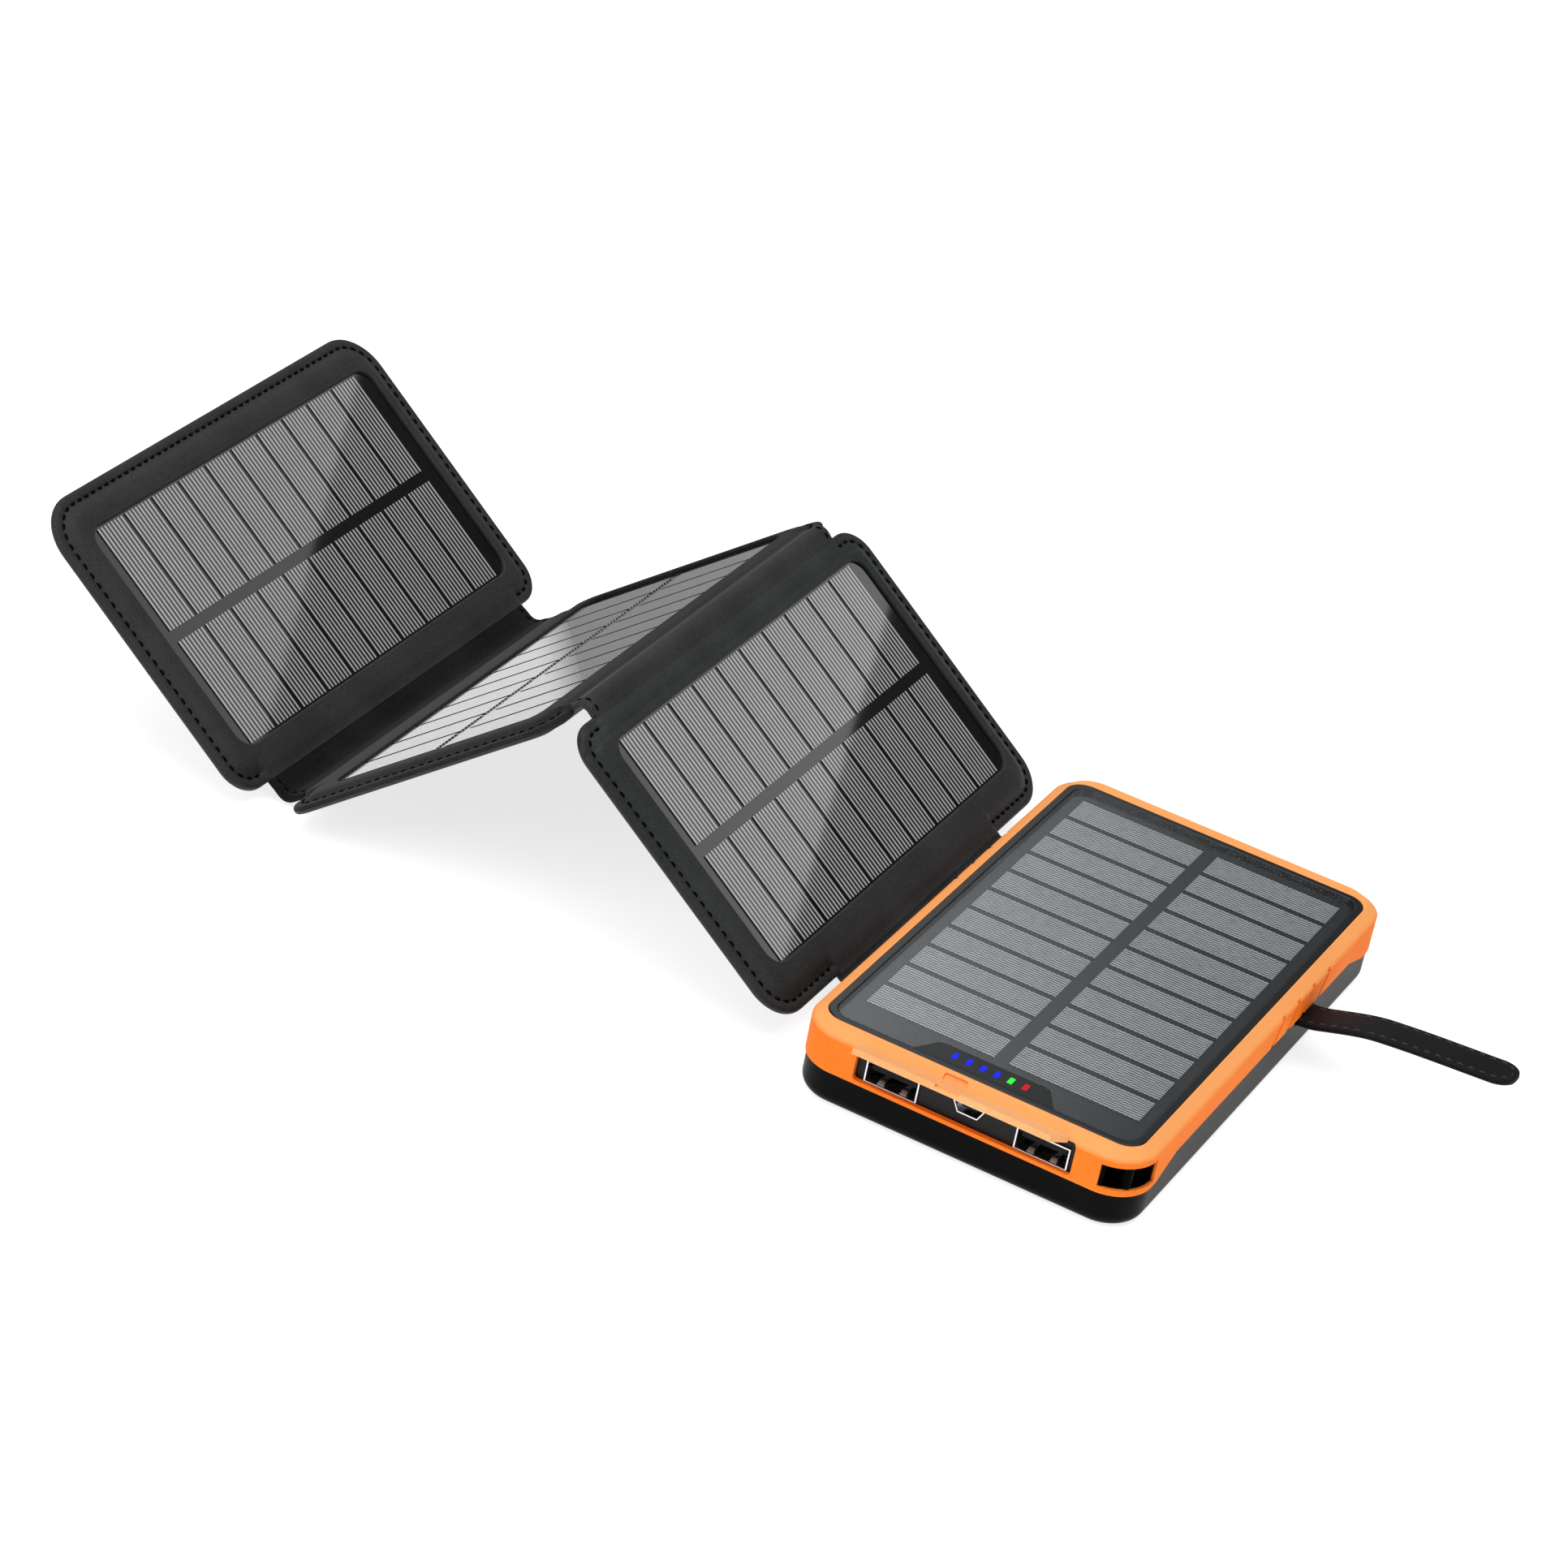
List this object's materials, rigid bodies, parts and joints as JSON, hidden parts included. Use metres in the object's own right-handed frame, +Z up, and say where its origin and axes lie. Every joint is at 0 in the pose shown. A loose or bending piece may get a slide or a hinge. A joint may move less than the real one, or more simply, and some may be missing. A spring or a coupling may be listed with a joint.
{
  "type": "solar phone charger",
  "caption": "Folding solar charger: flat power bank with a glass solar deck, hinged leather-bound solar panels in a zigzag, port recess with flap, and a closure strap.",
  "frame": {"origin": "centre of the power bank underside, on the surface it stands on", "axes": "+X towards the closure strap side, panels unfold towards -X; +Y away from the ports; +Z up"},
  "size_m": [0.3545, 0.1572, 0.06],
  "materials": {
    "orange_shell": "satin",
    "black_shell": "satin",
    "bezel_black": "satin",
    "solar_laminate": "satin",
    "solar_cell": "gloss",
    "deck_glass": "gloss",
    "smoked_lens": "gloss",
    "led_blue": "gloss",
    "led_green": "gloss",
    "led_red": "gloss",
    "port_black": "satin",
    "port_steel": "satin",
    "orange_flap": "matte",
    "circuit_board": "satin",
    "component_black": "matte",
    "button_black": "matte",
    "pouch_foil": "satin",
    "foam": "matte",
    "screw_black": "satin",
    "clamp_plastic": "matte",
    "stiffener_board": "matte",
    "ribbon_film": "gloss",
    "leather": "satin",
    "magnet_steel": "polished"
  },
  "bodies": {
    "power_bank": {"battery_foam": "foam", "battery_left_lower": "pouch_foil", "battery_left_upper": "pouch_foil", "battery_right_lower": "pouch_foil", "battery_right_upper": "pouch_foil", "board_components": "component_black", "button_switch": "component_black", "case_leather": "leather", "case_screws": "screw_black", "deck_bezel": "bezel_black", "deck_board": "solar_laminate", "deck_cells": "solar_cell", "deck_glass": "deck_glass", "hinge_clamp_bar": "clamp_plastic", "lanyard_insert": "port_black", "led_blue": "led_blue", "led_green": "led_green", "led_red": "led_red", "led_window": "smoked_lens", "lower_shell": "black_shell", "main_board": "circuit_board", "micro_usb": "port_steel", "micro_usb_tongue": "port_black", "port_panel": "port_black", "strap_clamp_bar": "clamp_plastic", "strap_end": "leather", "upper_shell": "orange_shell", "usb_a_left": "port_steel", "usb_a_left_tongue": "port_black", "usb_a_right": "port_steel", "usb_a_right_tongue": "port_black"},
    "panel_1": {"panel_1_back_cover": "leather", "panel_1_cells": "solar_cell", "panel_1_front_cover": "leather", "panel_1_padding": "foam", "panel_1_ribbon_lead": "ribbon_film", "panel_1_solar_board": "solar_laminate", "panel_1_stiffener": "stiffener_board", "ridge_leather": "leather"},
    "panel_2": {"panel_2_back_cover": "leather", "panel_2_cells": "solar_cell", "panel_2_front_cover": "leather", "panel_2_padding": "foam", "panel_2_ribbon_lead": "ribbon_film", "panel_2_solar_board": "solar_laminate", "panel_2_stiffener": "stiffener_board", "valley_leather": "leather"},
    "panel_3": {"panel_3_back_cover": "leather", "panel_3_cells": "solar_cell", "panel_3_front_cover": "leather", "panel_3_padding": "foam", "panel_3_ribbon_lead": "ribbon_film", "panel_3_solar_board": "solar_laminate", "panel_3_stiffener": "stiffener_board", "panel_magnet": "magnet_steel"},
    "strap_riser": {"strap_riser": "leather"},
    "strap_tip": {"strap_tip": "leather", "strap_magnet": "magnet_steel"},
    "port_cover": {"port_cover": "orange_flap"},
    "power_button": {"power_button": "button_black"}
  },
  "joints": [
    {"name": "panel_1_fold", "type": "hinge", "parent": "power_bank", "child": "panel_1", "pos_m": [-0.0441, 0, 0.0137], "axis": [0, 1, 0], "range_deg": [-37, 143], "deforming": ["case_leather"]},
    {"name": "panel_2_fold", "type": "hinge", "parent": "panel_1", "child": "panel_2", "pos_m": [-0.11688, 0, 0.05445], "axis": [0, -1, 0], "range_deg": [-75.9, 104.05], "deforming": ["ridge_leather"]},
    {"name": "panel_3_fold", "type": "hinge", "parent": "panel_2", "child": "panel_3", "pos_m": [-0.18843, 0, 0.0027], "axis": [0, 1, 0], "range_deg": [-76.5, 103.45], "deforming": ["valley_leather"]},
    {"name": "strap_lift", "type": "hinge", "parent": "power_bank", "child": "strap_riser", "pos_m": [0.0456, 0, 0.0104], "axis": [0, -1, 0], "range_deg": [-45, 78.5]},
    {"name": "strap_fold", "type": "hinge", "parent": "strap_riser", "child": "strap_tip", "pos_m": [0.0701, 0, 0.01538], "axis": [0, -1, 0], "range_deg": [-35, 97.5]},
    {"name": "port_cover_hinge", "type": "hinge", "parent": "power_bank", "child": "port_cover", "pos_m": [0, -0.0726, 0.0185], "axis": [1, 0, 0], "range_deg": [-30, 115]},
    {"name": "power_button_press", "type": "slide", "parent": "power_bank", "child": "power_button", "axis": [1, 0, 0], "range_m": [0, 0.0005], "stiffness_N_per_m": 300}
  ]
}
